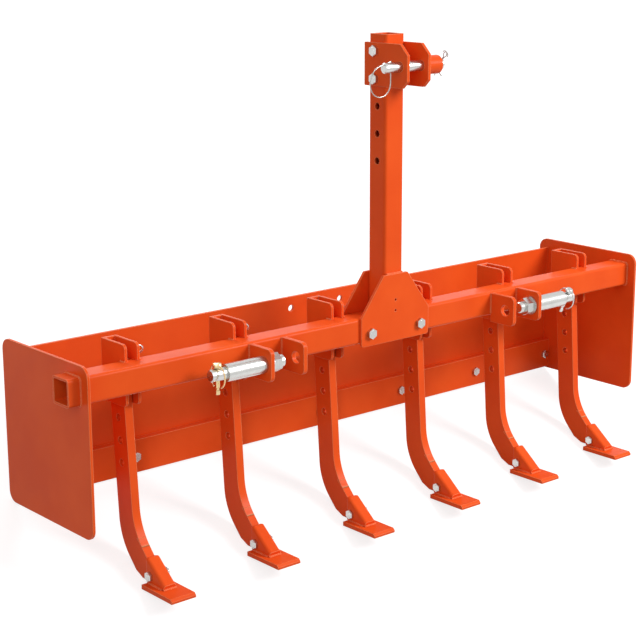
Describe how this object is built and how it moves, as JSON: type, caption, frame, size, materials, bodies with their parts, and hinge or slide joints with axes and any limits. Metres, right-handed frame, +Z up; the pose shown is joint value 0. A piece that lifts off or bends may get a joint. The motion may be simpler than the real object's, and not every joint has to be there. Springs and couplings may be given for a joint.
{
  "type": "tractor box blade",
  "caption": "Box blade for a small tractor: end plates, curved moldboard and cutting edge, square crossbar with ripper shanks, mast and three-point hitch.",
  "frame": {"origin": "centre of the bounding box on the floor plane, under mid width", "axes": "+X to the right as seen in the picture from the tractor's side, +Y to the rear away from the tractor, +Z up; the implement is stored as it parks, leaning back 23.8 degrees about X on its ripper points and the end plates' rear corners"},
  "size_m": [1.42, 0.4992, 0.8253],
  "materials": {
    "orange_paint": "gloss powder coat",
    "zinc": "bright zinc plate"
  },
  "bodies": {
    "frame": {"crossbar": "orange_paint", "cutting_edge": "orange_paint", "end_plate_left": "orange_paint", "end_plate_right": "orange_paint", "gusset_front": "orange_paint", "gusset_rear": "orange_paint", "hitch_ear_inner_left": "orange_paint", "hitch_ear_inner_right": "orange_paint", "hitch_ear_outer_left": "orange_paint", "hitch_ear_outer_right": "orange_paint", "hitch_pin_left": "zinc", "hitch_pin_right": "zinc", "mast": "orange_paint", "moldboard": "orange_paint", "shank_1": "orange_paint", "shank_2": "orange_paint", "shank_3": "orange_paint", "shank_4": "orange_paint", "shank_5": "orange_paint", "shank_6": "orange_paint", "shank_bracket_1": "orange_paint", "shank_bracket_2": "orange_paint", "shank_bracket_3": "orange_paint", "shank_bracket_4": "orange_paint", "shank_bracket_5": "orange_paint", "shank_bracket_6": "orange_paint", "shank_pin_1": "zinc", "shank_pin_2": "zinc", "shank_pin_3": "zinc", "shank_pin_4": "zinc", "shank_pin_5": "zinc", "shank_pin_6": "zinc", "shank_point_1": "orange_paint", "shank_point_2": "orange_paint", "shank_point_3": "orange_paint", "shank_point_4": "orange_paint", "shank_point_5": "orange_paint", "shank_point_6": "orange_paint", "top_clevis_left": "orange_paint", "top_clevis_right": "orange_paint", "top_link_pin": "zinc"},
    "sleeve_left": {"hitch_sleeve_left": "zinc"},
    "sleeve_right": {"hitch_sleeve_right": "zinc"}
  },
  "joints": [
    {"name": "sleeve_left_turn", "type": "hinge", "parent": "frame", "child": "sleeve_left", "pos_m": [-0.3885, -0.04895, 0.33433], "axis": [1, 0, 0], "continuous": true},
    {"name": "sleeve_right_turn", "type": "hinge", "parent": "frame", "child": "sleeve_right", "pos_m": [0.3885, -0.04895, 0.33433], "axis": [1, 0, 0], "continuous": true}
  ]
}
